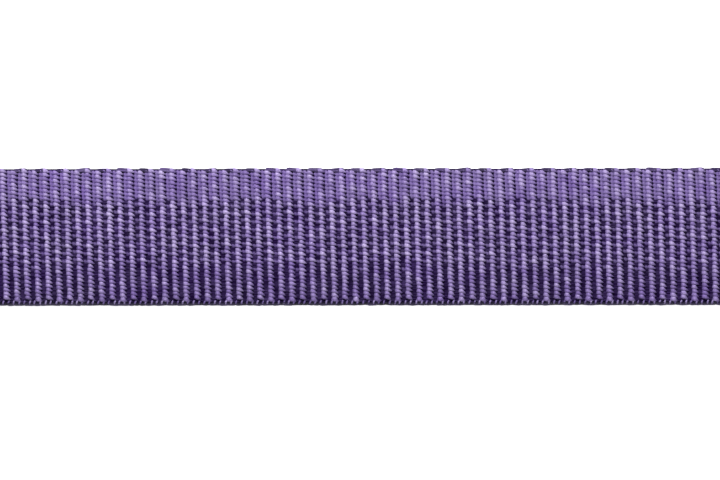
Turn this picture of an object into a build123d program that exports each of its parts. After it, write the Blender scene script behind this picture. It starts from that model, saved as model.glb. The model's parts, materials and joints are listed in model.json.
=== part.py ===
"""A single-ply flat web sling with a soft eye at each end, lying at full length on a flat surface.

The sling is one band of woven polyester webbing. At each end the band is folded back on itself and sewn to
its own body, which leaves an eye for a hook or a shackle. A tubular sleeve protects the crown of each eye, and
an identification label is sewn to the left splice. One edge of the webbing is knitted shut by a locking thread.

The webbing bends wherever it is loaded. Here it is cut at the five places where it folds in use: the middle,
the inner end of each splice and the throat of each eye. At a fold the inner piece ends in a full round on the
fold's axis, and the outer piece starts with a round nose just clear of it, so that the pair can fold either way.

Frame, in millimetres: X along the sling, Y across the webbing, Z up from the surface that the sling lies on.
The origin is the middle of the underside.
"""

import os
from math import acos, asin, atan2, cos, degrees, hypot, radians, sin

from build123d import *

os.makedirs("parts", exist_ok=True)

# ---- driving dimensions -------------------------------------------------------------------------------------

web_width = 30.0  # across the webbing
web_thickness = 2.5  # one ply
clear_span = 190.0  # single ply between the two splice folds
splice_length = 105.0  # from a splice fold to the throat of its eye
tail_inset = 12.0  # how far the cut tail stops short of the splice fold

locking_height = 1.0  # the locking thread, seen on the edge of the webbing
locking_depth = 0.5  # how deep it sits in that edge

eye_length = 120.0  # inside the eye, from the throat to the bearing point
bearing_radius = 13.0  # inside the sleeve, at the crown of the eye
lead_length = 4.0  # straight web on each leg beside the throat
throat_radius = 30.0  # how gently the upper leg leaves the splice
ramp_easing = 10.0  # how much gentler the lower leg bends than the upper one

sleeve_thickness = 1.6  # one wall of the tubular sleeve
sleeve_clearance = 0.3  # all round the web inside the sleeve
sleeve_leg = 45.0  # how far the sleeve covers each leg from the crown
tack_inset = 4.0  # from a sleeve end to the tack row that holds it

stitch_width = 1.0  # a row of stitches pressed into the web
stitch_depth = 0.5  # how deep a row is pressed in
stitch_margin = 3.0  # from an edge of the splice or the label to the nearest stitches
stitch_rows = 5  # rows along each splice

label_width = 24.0
label_ply = 0.6  # one layer of label fabric
label_tab_length = 10.0  # the folded end that is sewn down
label_flap_length = 60.0
label_setback = 18.0  # from the throat of the eye to the label
label_stitch_depth = 0.3

fold_limit = 135.0  # degrees that each fold in the web turns, either way
flap_limit = 150.0  # degrees that the label flap lifts
fold_clearance = 0.15  # between the two sides of a fold at its limit

# ---- places worked out from them ----------------------------------------------------------------------------


def nose_distance(thickness, limit):
    """From a fold's axis to the centre of the round nose beyond it, so that the nose clears at the limit."""
    return (thickness + fold_clearance) / sin(radians(max(limit, 90)))


fold_x = clear_span / 2
throat_x = fold_x + splice_length
tail_x = fold_x + tail_inset
span_nose_x = nose_distance(web_thickness, fold_limit)
body_nose_x = fold_x + span_nose_x

lower_ply_z = web_thickness / 2  # mid-height of each ply of a splice
upper_ply_z = web_thickness * 3 / 2
splice_thickness = 2 * web_thickness
eye_nose_x = throat_x + nose_distance(splice_thickness, fold_limit)

sleeve_gap = web_thickness + 2 * sleeve_clearance
sleeve_height = sleeve_gap + 2 * sleeve_thickness
sleeve_gap_width = web_width + 2 * sleeve_clearance
sleeve_width = sleeve_gap_width + 2 * sleeve_thickness
crown_radius = bearing_radius + sleeve_height / 2
crown_x = throat_x + eye_length - bearing_radius
crown_z = bearing_radius + sleeve_height
lower_leg_z = sleeve_height / 2

# The lower leg rises into the sleeve by two equal arcs, which turn it up and then level again.
ramp_radius = throat_radius + ramp_easing
ramp_turn = degrees(acos(1 - (lower_leg_z - lower_ply_z) / (2 * ramp_radius)))
ramp_x = eye_nose_x + lead_length
ramp_end_x = ramp_x + 2 * ramp_radius * sin(radians(ramp_turn))

# The upper leg is the straight line that touches the crown's arc from above and the throat's arc from below.
throat_arc_z = upper_ply_z + throat_radius
arcs_along = crown_x - ramp_x
arcs_up = throat_arc_z - crown_z
leg_angle = asin((crown_radius + throat_radius) / hypot(arcs_along, arcs_up)) - atan2(arcs_up, arcs_along)
leg_slope = degrees(leg_angle)


def beside_leg(x, z, out, up):
    """The place reached from x and z by going out along the slope of the upper leg and up across it."""
    return (x + out * cos(leg_angle) - up * sin(leg_angle), z + out * sin(leg_angle) + up * cos(leg_angle))


leg_high = beside_leg(crown_x, crown_z, 0, crown_radius)
leg_low = beside_leg(ramp_x, throat_arc_z, 0, -throat_radius)

label_hinge_x = -(throat_x - label_setback - label_tab_length)
label_nose_x = label_hinge_x + nose_distance(label_ply, flap_limit)
label_end_x = label_hinge_x + label_flap_length
label_hinge_z = splice_thickness + label_ply * 3 / 2

# ---- helpers ------------------------------------------------------------------------------------------------
# What is on both sides is drawn for the right-hand side, and its left-hand twin is a mirror image. A profile on
# the XZ plane runs along the sling, and extruding it both ways centres it across the webbing.


def write(part, name):
    """Labels a finished piece and writes it under the name of its node."""
    part.label = name
    export_step(part, f"parts/{name}.step")


def write_pair(part, name):
    """Writes a right-hand piece and its mirror image on the left."""
    write(part, f"right_{name}")
    write(mirror(part, about=Plane.YZ), f"left_{name}")


def flat_web(x_start, x_end, z_mid, width, thickness):
    """A flat band whose two ends are full rounds centred on x_start and x_end."""
    with BuildPart() as web:
        with BuildSketch(Plane.XZ):
            with Locations(((x_start + x_end) / 2, z_mid)):
                SlotCenterToCenter(x_end - x_start, thickness)
        extrude(amount=width / 2, both=True)
    return web.part


def locking_thread(x_start, x_end, z_mid):
    """The knitted thread that is let into the near edge of a straight stretch of web."""
    with BuildPart() as thread:
        with Locations(((x_start + x_end) / 2, -web_width / 2, z_mid)):
            Box(x_end - x_start, locking_depth, locking_height, align=(Align.CENTER, Align.MIN, Align.CENTER))
    return thread.part


def stitch_grid(z_mid):
    """The sewn rows of a splice as one run of thread: rows along it, joined by a row across at each end."""
    x_start = tail_x + stitch_margin
    x_end = throat_x - stitch_margin
    reach = web_width - 2 * stitch_margin
    with BuildPart() as grid:
        with Locations(((x_start + x_end) / 2, 0, z_mid)):
            with GridLocations(0, (reach - stitch_width) / (stitch_rows - 1), 1, stitch_rows):
                Box(x_end - x_start, stitch_width, stitch_depth)
            with GridLocations(x_end - x_start - stitch_width, 0, 2, 1):
                Box(stitch_width, reach, stitch_depth)
    return grid.part


# ---- the span between the splices, cut at the middle fold ---------------------------------------------------

for name, x_start, x_end in (("left_span", -fold_x, 0), ("right_span", span_nose_x, fold_x)):
    thread = locking_thread(x_start, x_end, lower_ply_z)
    with BuildPart() as span:
        add(flat_web(x_start, x_end, lower_ply_z, web_width, web_thickness))
        add(thread, mode=Mode.SUBTRACT)
    write(span.part, name)
    write(thread, f"{name}_locking_thread")

# ---- splices: the body of the sling with its tail sewn on top -----------------------------------------------
# The two plies share one full round at the throat, a quarter of it each.

needle_thread = stitch_grid(splice_thickness - stitch_depth / 2)
write_pair(needle_thread, "needle_thread")

bobbin_thread = stitch_grid(stitch_depth / 2)
write_pair(bobbin_thread, "bobbin_thread")

body_thread = locking_thread(body_nose_x, throat_x, lower_ply_z)
write_pair(body_thread, "body_locking_thread")

with BuildPart() as body_ply:
    with BuildSketch(Plane.XZ):
        with Locations((body_nose_x, lower_ply_z)):
            Circle(web_thickness / 2)
        with Locations((body_nose_x, 0)):
            Rectangle(throat_x - body_nose_x, web_thickness, align=(Align.MIN, Align.MIN))
        with BuildLine():
            lower_quarter = CenterArc((throat_x, web_thickness), web_thickness, -90, 90)
            Polyline(lower_quarter @ 1, (throat_x, web_thickness), lower_quarter @ 0)
        make_face()
    extrude(amount=web_width / 2, both=True)
    add((bobbin_thread, body_thread), mode=Mode.SUBTRACT)
write_pair(body_ply.part, "body_ply")

tail_thread = locking_thread(tail_x, throat_x, upper_ply_z)
write_pair(tail_thread, "tail_locking_thread")

with BuildPart() as tail_ply:
    with BuildSketch(Plane.XZ):
        with Locations((tail_x, web_thickness)):
            Rectangle(throat_x - tail_x, web_thickness, align=(Align.MIN, Align.MIN))
        with BuildLine():
            upper_quarter = CenterArc((throat_x, web_thickness), web_thickness, 0, 90)
            Polyline(upper_quarter @ 1, (throat_x, web_thickness), upper_quarter @ 0)
        make_face()
    extrude(amount=web_width / 2, both=True)
    add((needle_thread, tail_thread), mode=Mode.SUBTRACT)
write_pair(tail_ply.part, "tail_ply")

# ---- eyes: the web round its loop, and the locking thread round the loop's edge -----------------------------

with BuildLine(Plane.XZ) as loop:
    CenterArc((ramp_x, lower_ply_z + ramp_radius), ramp_radius, -90, ramp_turn)
    CenterArc((ramp_end_x, lower_leg_z - ramp_radius), ramp_radius, 90 + ramp_turn, -ramp_turn)
    Line((ramp_end_x, lower_leg_z), (crown_x, lower_leg_z))
    CenterArc((crown_x, crown_z), crown_radius, -90, 180 + leg_slope)
    Line(leg_high, leg_low)
    CenterArc((ramp_x, throat_arc_z), throat_radius, -90, leg_slope)

with BuildPart() as eye_thread:
    with BuildSketch(Plane.YZ.offset(ramp_x)):
        with Locations((-web_width / 2, lower_ply_z)):
            Rectangle(locking_depth, locking_height, align=(Align.MIN, Align.CENTER))
    sweep(path=loop.wire())
    for leg_z in (lower_ply_z, upper_ply_z):
        add(locking_thread(eye_nose_x, ramp_x, leg_z))
write_pair(eye_thread.part, "eye_locking_thread")

with BuildPart() as eye_web:
    with BuildSketch(Plane.YZ.offset(ramp_x)):
        with Locations((0, lower_ply_z)):
            Rectangle(web_width, web_thickness)
    sweep(path=loop.wire())
    with BuildSketch(Plane.XZ):
        with Locations((eye_nose_x, web_thickness)):
            Circle(web_thickness)
        with Locations((eye_nose_x, 0)):
            Rectangle(lead_length, splice_thickness, align=(Align.MIN, Align.MIN))
    extrude(amount=web_width / 2, both=True)
    add(eye_thread.part, mode=Mode.SUBTRACT)
write_pair(eye_web.part, "eye_web")

# ---- sleeves: a flattened tube round each crown, tacked at both ends on both faces --------------------------

lower_tack = Plane(origin=(crown_x - sleeve_leg + tack_inset, 0, lower_leg_z))
upper_tack_x, upper_tack_z = beside_leg(crown_x, crown_z, tack_inset - sleeve_leg, crown_radius)
upper_tack = Plane(
    origin=(upper_tack_x, 0, upper_tack_z),
    x_dir=(cos(leg_angle), 0, sin(leg_angle)),
    z_dir=(-sin(leg_angle), 0, cos(leg_angle)),
)

with BuildPart() as sleeve_tacks:
    for tack in (lower_tack, upper_tack):
        for face in (-1, 1):
            with Locations(tack.offset(face * (sleeve_height - stitch_depth) / 2)):
                Box(stitch_width, web_width - 2 * stitch_margin, stitch_depth)
write_pair(sleeve_tacks.part, "sleeve_tacks")

with BuildPart() as eye_sleeve:
    with BuildLine(Plane.XZ) as sleeve_line:
        Line((crown_x - sleeve_leg, lower_leg_z), (crown_x, lower_leg_z))
        CenterArc((crown_x, crown_z), crown_radius, -90, 180 + leg_slope)
        Line(leg_high, beside_leg(crown_x, crown_z, -sleeve_leg, crown_radius))
    with BuildSketch(Plane.YZ.offset(crown_x - sleeve_leg)):
        with Locations((0, lower_leg_z)):
            Rectangle(sleeve_width, sleeve_height)
            Rectangle(sleeve_gap_width, sleeve_gap, mode=Mode.SUBTRACT)
    sweep(path=sleeve_line.wire())
    add(sleeve_tacks.part, mode=Mode.SUBTRACT)
write_pair(eye_sleeve.part, "eye_sleeve")

# ---- label, on the left splice only: a sewn tab of two layers and the flap that hangs from it ---------------

with BuildPart() as label_thread:
    with Locations((label_hinge_x - label_tab_length / 2, 0, splice_thickness + 2 * label_ply)):
        Box(
            stitch_width,
            label_width - 2 * stitch_margin,
            label_stitch_depth,
            align=(Align.CENTER, Align.CENTER, Align.MAX),
        )
write(label_thread.part, "label_thread")

with BuildPart() as label_tab:
    with BuildSketch(Plane.XZ):
        with Locations((label_hinge_x, splice_thickness)):
            Rectangle(label_tab_length, 2 * label_ply, align=(Align.MAX, Align.MIN))
        with Locations((label_hinge_x, label_hinge_z)):
            Circle(label_ply / 2)
    extrude(amount=label_width / 2, both=True)
    add(label_thread.part, mode=Mode.SUBTRACT)
write(label_tab.part, "label_tab")

write(flat_web(label_nose_x, label_end_x, label_hinge_z, label_width, label_ply), "label_flap")

# ---- the axes of the joints and mounts ----------------------------------------------------------------------

print(f"bearing to bearing {2 * (throat_x + eye_length):.1f}, upper leg sloped by {leg_slope:.2f} degrees")
for axis_name, x, z in (
    ("middle fold", 0, lower_ply_z),
    ("splice bend", fold_x, lower_ply_z),
    ("eye swing", throat_x, web_thickness),
    ("label lift", label_hinge_x, label_hinge_z),
    ("eye bearing", crown_x, crown_z),
):
    print(f"{axis_name} axis at x {x:.3f}, z {z:.3f}")
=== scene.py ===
# %% [markdown]
# # A ribbed flat web sling
#
# A flat web sling is one band of woven polyester webbing with a sewn eye at each end. This lesson builds
# how it looks round a CAD model that already fixes its sizes and its joints. The webbing is the main
# subject: thick warp yarns run along it and pass over and under a hidden weft, which raises the ribs that
# cross the band.
#
# Everything is in metres, in the CAD model's own frame: X along the sling, Y across the webbing, Z up.

import json
from math import acos, asin, atan2, ceil, cos, hypot, pi, radians, sin, sqrt

import bmesh
import bpy
from mathutils import Matrix, Vector, noise


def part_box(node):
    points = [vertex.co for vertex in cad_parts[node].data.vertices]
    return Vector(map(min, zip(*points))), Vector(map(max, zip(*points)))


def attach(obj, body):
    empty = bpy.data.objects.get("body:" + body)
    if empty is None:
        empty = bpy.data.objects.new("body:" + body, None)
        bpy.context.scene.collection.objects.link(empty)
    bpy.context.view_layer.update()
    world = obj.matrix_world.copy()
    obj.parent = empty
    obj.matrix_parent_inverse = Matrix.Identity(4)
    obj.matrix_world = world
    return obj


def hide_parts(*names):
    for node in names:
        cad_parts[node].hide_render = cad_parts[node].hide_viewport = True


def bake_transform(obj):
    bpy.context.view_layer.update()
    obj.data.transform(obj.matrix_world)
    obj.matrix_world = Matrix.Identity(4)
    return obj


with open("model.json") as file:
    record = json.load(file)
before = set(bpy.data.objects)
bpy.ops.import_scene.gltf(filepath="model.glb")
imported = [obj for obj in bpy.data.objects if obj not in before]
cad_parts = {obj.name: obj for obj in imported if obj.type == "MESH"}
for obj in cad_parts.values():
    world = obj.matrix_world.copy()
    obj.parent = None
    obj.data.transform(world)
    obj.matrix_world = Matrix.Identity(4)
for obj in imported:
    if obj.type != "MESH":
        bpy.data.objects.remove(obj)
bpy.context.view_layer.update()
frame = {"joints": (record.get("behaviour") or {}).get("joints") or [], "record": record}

# %% [markdown]
# Sizes are read from the frame wherever it holds them, so that the pieces below land on the CAD model. The
# weave's own sizes come from how such webbing is made: the violet width is 30 mm, with a rib every 2.3 mm
# and 66 warp yarns beside each other.

# %% Sizes of the sling and of its weave
MM = 0.001
ENDS = (("left", -1), ("right", 1))  # each end's name, and which way it lies along X
joint_at = {joint["name"]: Vector(joint["pos_m"]) for joint in frame["joints"]}
eye_mount = next(mount for mount in frame["record"]["mounts"] if mount["name"] == "right_eye_bearing")

span_low, span_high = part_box("left_span")
WEB_WIDTH = span_high.y - span_low.y
WEB_THICKNESS = span_high.z - span_low.z
LOWER_PLY_Z = (span_high.z + span_low.z) / 2
UPPER_PLY_Z = LOWER_PLY_Z + WEB_THICKNESS
SPLICE_TOP_Z = 2 * WEB_THICKNESS

RIB_PITCH = 2.3175 * MM  # from one rib to the next, along the web
CROWN_PITCH = 0.866 * MM  # from one yarn crown to the next along a rib; the next rib has its own in between
RIB_LEAN = 0.031  # how far a rib runs along the web for each unit across it
RELIEF = 0.95 * MM  # from the floor of the valley between two ribs to the crest
HEM = 1.05 * MM  # the knitted edge, which the crowns stop short of
CROWNS_ACROSS = int((WEB_WIDTH - HEM) / CROWN_PITCH)

# %% [markdown]
# Geometry Nodes and materials are both trees of nodes. One helper adds a node to either: it sets the node's
# properties, then feeds its sockets in order or by name, from plain values or from other nodes. Sums and
# products are so common here that they get a short form.


# %% Helpers: nodes, objects, colours and materials
def add_node(tree, kind, *feeds, named=None, **settings):
    """Adds a node, sets its properties, and feeds its sockets from values, nodes or sockets."""
    node = tree.nodes.new(kind)
    for setting, value in settings.items():
        setattr(node, setting, value)
    for key, feed in [*enumerate(feeds), *(named or {}).items()]:
        if isinstance(feed, bpy.types.Node):
            feed = feed.outputs[0]
        if isinstance(feed, bpy.types.NodeSocket):
            tree.links.new(feed, node.inputs[key])
        elif feed is not None:
            node.inputs[key].default_value = feed
    return node


def maths(tree, operation, *feeds, **settings):
    """Adds a Math node."""
    return add_node(tree, "ShaderNodeMath", *feeds, operation=operation, **settings)


def weighted(tree, base, *terms):
    """A base plus terms, each of them a value and its weight."""
    for value, weight in terms:
        base = maths(tree, "MULTIPLY_ADD", value, weight, base)
    return base


def vector(tree, x, y, z):
    """Adds a node that makes a vector of three numbers."""
    return add_node(tree, "ShaderNodeCombineXYZ", x, y, z)


def store(tree, geometry, name, value, data_type="FLOAT", domain="POINT"):
    """Adds a node that stores a value on the geometry under a name."""
    kind = "GeometryNodeStoreNamedAttribute"
    stored = {"Name": name, "Value": value}
    return add_node(tree, kind, geometry, named=stored, data_type=data_type, domain=domain)


def linked(name, data):
    """A new object in the scene."""
    made = bpy.data.objects.new(name, data)
    bpy.context.scene.collection.objects.link(made)
    return made


def linear(colour):
    """An sRGB hex colour as the linear RGBA that shaders work in."""
    shares = [int(colour[i : i + 2], 16) / 255 for i in (1, 3, 5)]
    return [c / 12.92 if c <= 0.04045 else ((c + 0.055) / 1.055) ** 2.4 for c in shares] + [1.0]


def new_material(name):
    """A material and its tree, which is still empty."""
    material = bpy.data.materials.new(name)
    material.use_nodes = True
    material.node_tree.nodes.clear()
    return material, material.node_tree


def colour_ramp(tree, level, dark, bright):
    """Adds a ramp from a dark to a bright colour."""
    ramp = add_node(tree, "ShaderNodeValToRGB", level)
    ramp.color_ramp.elements[0].color = linear(dark)
    ramp.color_ramp.elements[1].color = linear(bright)
    return ramp


print("helpers for nodes, objects, colours and materials are ready")

# %% [markdown]
# ** Dyed polyester yarn.** The yarn is a loose bundle of bright filaments, dyed violet. Each crown that it
# makes catches the light like a small satin cushion, so the material has a soft gloss and fine lines along
# the yarn. The weave stores what the material reads: `crest` is 1 on the back of a crown and 0 where it
# dives between its neighbours, and the material paints the crown darker where it is low, as painted shade;
# `tone` is how bright the crown is painted, partly the yarn's own chance and partly painted light and shade;
# `open_floor` is how much light reaches its foot, which sets how dark that painted shade goes; and
# `woven_place` is where it lies on the flat web, so that the pattern follows the web round its bends.


# %% Material: dyed polyester yarn
def yarn_material(name, dark, mid, bright, roughness=0.5, specular=0.18):
    """Satin filament yarn whose colour runs from dark to bright with each crown's tone."""
    material, tree = new_material(name)
    tone, crest, floor_light, place = (
        add_node(tree, "ShaderNodeAttribute", attribute_name=mark)
        for mark in ("tone", "crest", "open_floor", "woven_place")
    )
    # Bundles take the dye unevenly in patches of about 4 mm, in depth and in strength of colour.
    patch_size = {"Vector": place.outputs["Vector"], "Scale": 1 / (4 * MM), "Detail": 3.0}
    patches = add_node(tree, "ShaderNodeTexNoise", named=patch_size)
    swing = add_node(tree, "ShaderNodeMapRange", patches.outputs["Fac"], 0.3, 0.7, -0.04, 0.04)
    strength = add_node(tree, "ShaderNodeMapRange", patches.outputs["Color"], 0.35, 0.65, 0.86, 1.02)
    level = maths(tree, "ADD", tone.outputs["Fac"], swing)
    # Filaments are 0.02 mm thick, too fine to show, so they are drawn as lines 0.15 mm apart.
    stretched = add_node(
        tree, "ShaderNodeVectorMath", place.outputs["Vector"], (250.0, 6600.0, 6600.0), operation="MULTIPLY"
    )
    filaments = add_node(tree, "ShaderNodeTexNoise", named={"Vector": stretched, "Scale": 1.0, "Detail": 1.0})
    streak = add_node(tree, "ShaderNodeMapRange", filaments.outputs["Fac"], 0.3, 0.7, -0.1, 0.1)
    level = maths(tree, "ADD", level, streak)
    # Painted shade: the flanks and ends, where crest is low, are painted darker, down to open_floor's level;
    # only the back of a crown shows its full colour.
    flank = floor_light.outputs["Fac"]
    depth = add_node(tree, "ShaderNodeMapRange", crest.outputs["Fac"], 0.0, 0.65, flank, 1.0)
    level = maths(tree, "MULTIPLY", level, depth, use_clamp=True)
    ramp = colour_ramp(tree, level, dark, bright)
    ramp.color_ramp.elements.new(0.5).color = linear(mid)
    dyed = add_node(tree, "ShaderNodeHueSaturation", named={"Saturation": strength, "Color": ramp})
    bump_feeds = {"Strength": 0.25, "Distance": 0.05 * MM, "Height": filaments.outputs["Fac"]}
    bump = add_node(tree, "ShaderNodeBump", named=bump_feeds)
    satin = {"Base Color": dyed, "Roughness": roughness, "IOR": 1.5, "Specular IOR Level": specular}
    shader = add_node(tree, "ShaderNodeBsdfPrincipled", named={**satin, "Normal": bump})
    add_node(tree, "ShaderNodeOutputMaterial", shader)
    return material


violet_yarn = yarn_material("violet_polyester_yarn", "#1A0735", "#745F9B", "#C4B4DE")
# The valley floors get a darker, matt copy of the yarn: painted shade deep between the ribs.
painted_shade_valley_yarn = yarn_material("violet_yarn_deep_in_the_valleys", "#14052A", "#665090", "#8E7AB8", 0.9, 0.02)
locking_yarn = yarn_material("dark_locking_yarn", "#0D0424", "#5A4880", "#BFB0DA")
sewing_yarn = yarn_material("lilac_bonded_sewing_thread", "#4A3B66", "#A898C6", "#E2D8F4", roughness=0.35)
white_yarn = yarn_material("white_label_thread", "#8A8A92", "#D2D2DA", "#F6F6FA", roughness=0.35)
for made in (violet_yarn, painted_shade_valley_yarn, locking_yarn, sewing_yarn, white_yarn):
    print("made", made.name)

# %% [markdown]
# ** Fine cloth.** The sleeve and the label are woven too, but so finely that single yarns are only a texture
# on them. A plain weave is the product of two waves at right angles: the thread that is on top changes at
# each crossing. The same pattern drives the colour, so that the crossings are darker as painted shade in the
# low places of the weave, and the bump.


# %% Material: finely woven cloth
def cloth_material(name, dark, bright, thread, roughness, bump_height, patch):
    """Plain-woven cloth with a thread every `thread` metres, read from woven_place."""
    material, tree = new_material(name)
    place = add_node(tree, "ShaderNodeAttribute", attribute_name="woven_place")
    woven = place.outputs["Vector"]
    turns = add_node(tree, "ShaderNodeVectorMath", woven, (pi / thread,) * 3, operation="MULTIPLY")
    turn = add_node(tree, "ShaderNodeSeparateXYZ", turns)
    warp = maths(tree, "SINE", turn.outputs["X"])
    weft = maths(tree, "SINE", turn.outputs["Y"])
    weave = maths(tree, "MULTIPLY", warp, weft)
    height = maths(tree, "ABSOLUTE", weave)
    # Wear and dye make soft patches, wider than many threads.
    patches = add_node(
        tree, "ShaderNodeTexNoise", named={"Vector": woven, "Scale": 1 / patch, "Detail": 4.0}
    )
    worn = add_node(tree, "ShaderNodeMapRange", patches.outputs["Fac"], 0.3, 0.7, 0.1, 0.75)
    # Painted shade: the low places of the weave are darker; the patches are the cloth's own wear and dye.
    level = maths(tree, "MULTIPLY_ADD", height, 0.3, worn, use_clamp=True)
    ramp = colour_ramp(tree, level, dark, bright)
    bump_feeds = {"Strength": 0.8, "Distance": bump_height, "Height": height}
    bump = add_node(tree, "ShaderNodeBump", named=bump_feeds)
    cloth = {"Base Color": ramp, "Roughness": roughness, "IOR": 1.5, "Sheen Weight": 0.15}
    shader = add_node(tree, "ShaderNodeBsdfPrincipled", named={**cloth, "Normal": bump})
    add_node(tree, "ShaderNodeOutputMaterial", shader)
    return material


# Sleeve thread is about 0.8 mm wide. Label thread is 0.15 mm, too fine to show, and is drawn at 0.3 mm.
sleeve_cloth = cloth_material("woven_violet_sleeve", "#33235A", "#6A568F", 0.8 * MM, 0.8, 0.25 * MM, 9 * MM)
label_cloth = cloth_material("blue_satin_label", "#163F7E", "#2F68B4", 0.3 * MM, 0.45, 0.05 * MM, 14 * MM)
print("made", sleeve_cloth.name, "and", label_cloth.name)

# %% [markdown]
# **Melted polyester.** The cut tail is sealed with a hot knife, which melts the yarn ends into a dark
# glossy bead.


# %% Material: melted polyester
def melted_material():
    """Dark violet plastic, glossy and a little lumpy."""
    material = bpy.data.materials.new("melted_polyester")
    material.use_nodes = True
    tree = material.node_tree
    shader = tree.nodes["Principled BSDF"]
    place = add_node(tree, "ShaderNodeTexCoord")
    # Melting leaves lumps about 1.5 mm apart.
    lump_size = {"Vector": place.outputs["Object"], "Scale": 1 / (1.5 * MM), "Detail": 3.0}
    lumps = add_node(tree, "ShaderNodeTexNoise", named=lump_size)
    ramp = colour_ramp(tree, lumps, "#1C1030", "#57457C")
    bump = add_node(tree, "ShaderNodeBump", named={"Strength": 0.6, "Distance": 0.2 * MM, "Height": lumps})
    tree.links.new(ramp.outputs["Color"], shader.inputs["Base Color"])
    tree.links.new(bump.outputs["Normal"], shader.inputs["Normal"])
    shader.inputs["Roughness"].default_value = 0.3
    return material


melted = melted_material()
print("made", melted.name)

# %% [markdown]
# **One crown.** Where a warp yarn passes over the weft it makes a crown: it rises steeply out of the
# valley, is fattest a little before the middle, and tapers to a tooth as it dives under the next pick. It
# is repeated thousands of times, so it has only a few dozen faces. It is a closed shell, one unit long,
# wide and high, that stands on Z = 0. With no skew it is the same at both ends, which is the shape of a
# sewn stitch, and a blunt one is a loop.


# %% Template: a yarn crown
def crown_mesh(name, lengths, sides, skew=1.0, bluntness=1.0):
    """A closed half-tube with `lengths` steps along X and `sides` facets over its back."""
    shell = bmesh.new()
    crest = shell.verts.layers.float.new("crest")
    peak = -0.15 * skew
    rings = []
    for a in range(lengths + 1):
        u = 2 * a / lengths - 1
        falling = u > peak
        away = ((u - peak) / (1 - peak) if falling else (peak - u) / (1 + peak)) ** bluntness
        narrowing = 0.45 + (0.43 if falling else -0.2) * skew
        half_width = 0.5 * (1 - narrowing * away ** (1.3 if falling else 3.0))
        foot = max(0.3 * skew, 0.04) if falling else 0.04
        height = foot + (1 - foot) * max(cos(pi / 2 * away), 0) ** (0.9 if falling else 0.7)
        # crest falls towards both ends and down the flanks; the material paints these low parts as shade.
        unshaded_share = 1 - (0.25 if falling else 0.6) * away**2
        middle = -0.2 * skew * max(u - peak, 0)
        ring = []
        for b in range(sides + 1):
            turn = pi * b / sides
            up = max(sin(turn), 0) ** 0.6
            point = shell.verts.new((u / 2, middle + half_width * cos(turn), height * up))
            point[crest] = unshaded_share * up
            ring.append(point)
        rings.append(ring)
    for before, after in zip(rings, rings[1:]):
        for b in range(sides):
            shell.faces.new((before[b], before[b + 1], after[b + 1], after[b])).smooth = True
        shell.faces.new((before[-1], before[0], after[0], after[-1]))
    shell.faces.new(rings[0][::-1])
    shell.faces.new(rings[-1])
    bmesh.ops.recalc_face_normals(shell, faces=shell.faces)
    mesh = bpy.data.meshes.new(name)
    shell.to_mesh(mesh)
    shell.free()
    mesh.set_sharp_from_angle(angle=radians(75))
    return bpy.data.objects.new(name, mesh)


fine_crown = crown_mesh("fine_crown", 6, 4)
plain_crown = crown_mesh("plain_crown", 4, 3)
low_crown = crown_mesh("low_crown", 3, 2)
stitch = crown_mesh("stitch", 6, 4, skew=0.0)
loop = crown_mesh("loop", 8, 4, skew=0.0, bluntness=3.0)
for template in (fine_crown, plain_crown, low_crown, stitch, loop):
    print(template.name, len(template.data.polygons), "faces")

# %% [markdown]
# **The weave.** A plain weave is a rule, so Geometry Nodes can weave it: every rib has a crown at each
# second yarn, and the next rib has crowns at the yarns between. The tree works on flat web first. It
# numbers each crown by rib and yarn, places it, then wraps the whole web along a path.
#
# The yarns are threaded through the loom in fours. In the middle of the web two of each four reach back
# over the valley as a low bar, and the other two leave it open, which makes a chequer of dark squares.
# Towards the far edge every yarn has its bar, and towards the near edge none has, so the valleys there are
# dark all along.


# %% Geometry Nodes: the woven web
def new_tree(name, sizes):
    """An empty Geometry Nodes tree with a named input for each size."""
    tree = bpy.data.node_groups.new(name, "GeometryNodeTree")
    tree.interface.new_socket("Geometry", in_out="OUTPUT", socket_type="NodeSocketGeometry")
    tree.interface.new_socket("Path", in_out="INPUT", socket_type="NodeSocketGeometry")
    for size, kind in sizes.items():
        tree.interface.new_socket(size, in_out="INPUT", socket_type="NodeSocket" + kind)
    return tree, tree.nodes.new("NodeGroupInput").outputs


def number_crowns(tree, given):
    """Grid points, one for each crown, with the rib and the yarn that each belongs to."""
    counts = {"Vertices X": given["Ribs"], "Vertices Y": given["Crowns across"]}
    grid = add_node(tree, "GeometryNodeMeshGrid", named=counts)
    index = add_node(tree, "GeometryNodeInputIndex")
    column = maths(tree, "DIVIDE", index, given["Crowns across"])
    column = maths(tree, "FLOOR", column)
    row = maths(tree, "FLOORED_MODULO", index, given["Crowns across"])
    rib = maths(tree, "ADD", column, given["First rib"])
    even = maths(tree, "ADD", rib, 1.0)
    even = maths(tree, "FLOORED_MODULO", even, 2.0)
    yarn = maths(tree, "MULTIPLY_ADD", row, 2.0, even)
    return grid, rib, yarn


def random_numbers(tree, crown_id, count, seed):
    """Random numbers from -1 to 1, the same for the same crown on every run."""
    numbers = []
    for i in range(count):
        feeds = {2: -1.0, 3: 1.0, 7: crown_id, 8: seed + i}  # least, most, what it is for, seed
        numbers.append(add_node(tree, "FunctionNodeRandomValue", named=feeds).outputs[1])
    return numbers


def mark_points(tree, geometry, marks):
    """The geometry with each mark stored on its points."""
    for mark, value in marks.items():
        geometry = store(tree, geometry, mark, value)
    return geometry


def set_crowns(tree, points, crown, place, turn, size, side=1, **marks):
    """A crown on each point, with the values that its material reads."""
    placed = add_node(tree, "GeometryNodeSetPosition", points, named={"Position": place})
    placed = mark_points(tree, placed, {**marks, "side": float(side)})
    source = add_node(tree, "GeometryNodeObjectInfo", crown)
    feeds = {"Instance": source.outputs["Geometry"], "Rotation": turn, "Scale": size}
    return add_node(tree, "GeometryNodeInstanceOnPoints", placed, named=feeds)


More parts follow.
